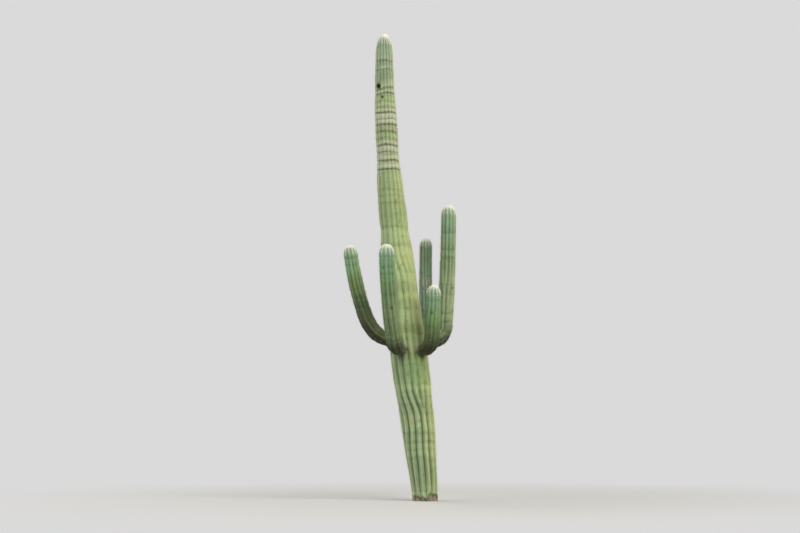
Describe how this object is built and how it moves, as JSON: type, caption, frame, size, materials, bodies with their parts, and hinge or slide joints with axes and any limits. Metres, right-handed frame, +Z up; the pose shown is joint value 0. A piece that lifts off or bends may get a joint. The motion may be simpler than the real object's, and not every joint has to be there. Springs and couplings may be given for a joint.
{
  "type": "saguaro cactus",
  "caption": "Tall columnar desert cactus with a leaning, pleated trunk and a whorl of upturned arms, rooted in the ground on a flat cut at ground level.",
  "frame": {"origin": "middle of the flat cut under the trunk, at ground level", "axes": "+Z is up along the trunk; +X is the plant's right and +Y its back as it is seen in the picture, and the trunk leans towards -X"},
  "size_m": [1.6793, 1.354, 7],
  "materials": {
    "trunk_skin": "waxy grey-green skin in deep pleats, paler on the crests of the ribs, with darker growth bands and grey-brown cork at the foot; matt with a soft sheen",
    "arm_skin": "waxy blue-green skin in pleats, darker than the trunk, with pale woolly tips and brown cork under the elbows; matt with a soft sheen"
  },
  "bodies": {
    "root": {"trunk": "trunk_skin", "left_arm_elbow": "arm_skin", "left_arm": "arm_skin", "front_left_arm_elbow": "arm_skin", "front_left_arm": "arm_skin", "front_right_arm_elbow": "arm_skin", "front_right_arm": "arm_skin", "right_arm_elbow": "arm_skin", "right_arm": "arm_skin", "back_right_arm_elbow": "arm_skin", "back_right_arm": "arm_skin"}
  },
  "joints": []
}
